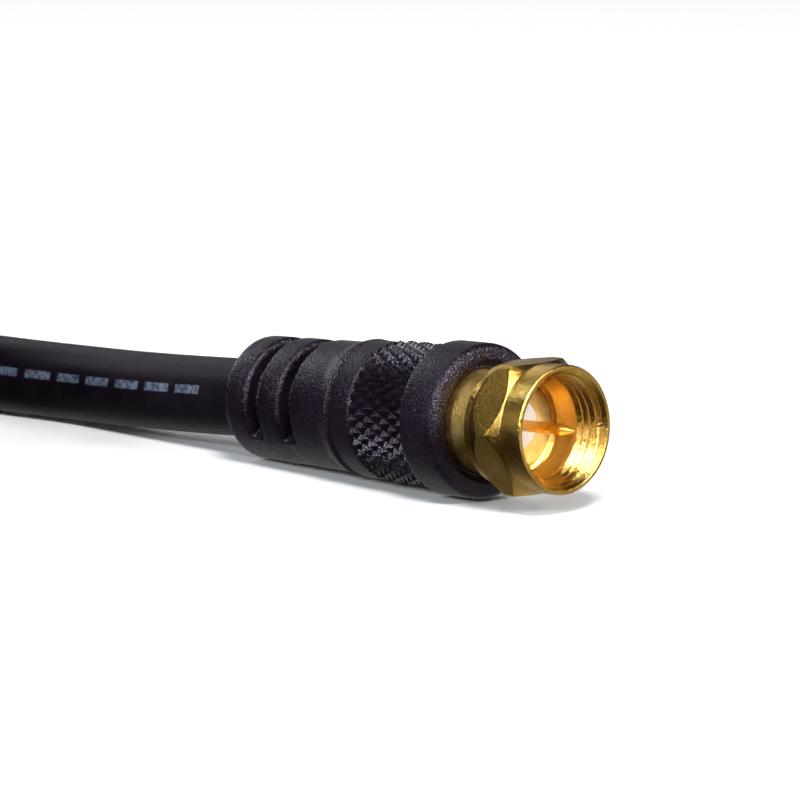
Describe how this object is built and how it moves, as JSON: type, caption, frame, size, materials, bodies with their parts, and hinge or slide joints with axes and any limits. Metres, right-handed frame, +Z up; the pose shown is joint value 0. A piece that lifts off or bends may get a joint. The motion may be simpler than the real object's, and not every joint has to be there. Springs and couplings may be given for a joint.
{
  "type": "coaxial cable lead",
  "caption": "Black coaxial lead with a moulded screw-on plug at each end: knurled grip, gold hex coupling nut, centre pin, and the cable wound in a tied coil.",
  "frame": {"origin": "on the floor under the middle of the near connector, measured without the cable, its coil and the far connector", "axes": "+X along the near connector towards its mouth (the axis rises 2.9 degrees), +Z up, the coil lies towards -X and -Y"},
  "size_m": [0.1427, 0.1078, 0.0359],
  "materials": {
    "mould": "fine grained black PVC with a soft grey sheen",
    "jacket": "smooth black PVC with a satin sheen",
    "gold": "gold plated brass, bright turned edges and slightly grained flats",
    "insulator": "warm off-white polyethylene",
    "tie": "black woven hook-and-loop strap"
  },
  "bodies": {
    "lead": {"overmould": "mould", "ferrule": "gold", "dielectric": "insulator", "centre_pin": "gold", "cable_run": "jacket", "cable_coil": "jacket", "cable_end": "jacket", "coil_tie_1": "tie", "coil_tie_2": "tie", "far_overmould": "mould", "far_ferrule": "gold", "far_dielectric": "insulator", "far_centre_pin": "gold"},
    "near_nut": {"coupling_nut": "gold"},
    "far_nut": {"far_coupling_nut": "gold"}
  },
  "joints": [
    {"name": "near_nut_spin", "type": "hinge", "parent": "lead", "child": "near_nut", "pos_m": [0.01466, 0, 0.00718], "axis": [0.9988, 0, 0.0499], "continuous": true},
    {"name": "far_nut_spin", "type": "hinge", "parent": "lead", "child": "far_nut", "pos_m": [-0.10695, -0.01075, 0.02958], "axis": [-0.9898, 0.1338, 0.0499], "continuous": true}
  ]
}
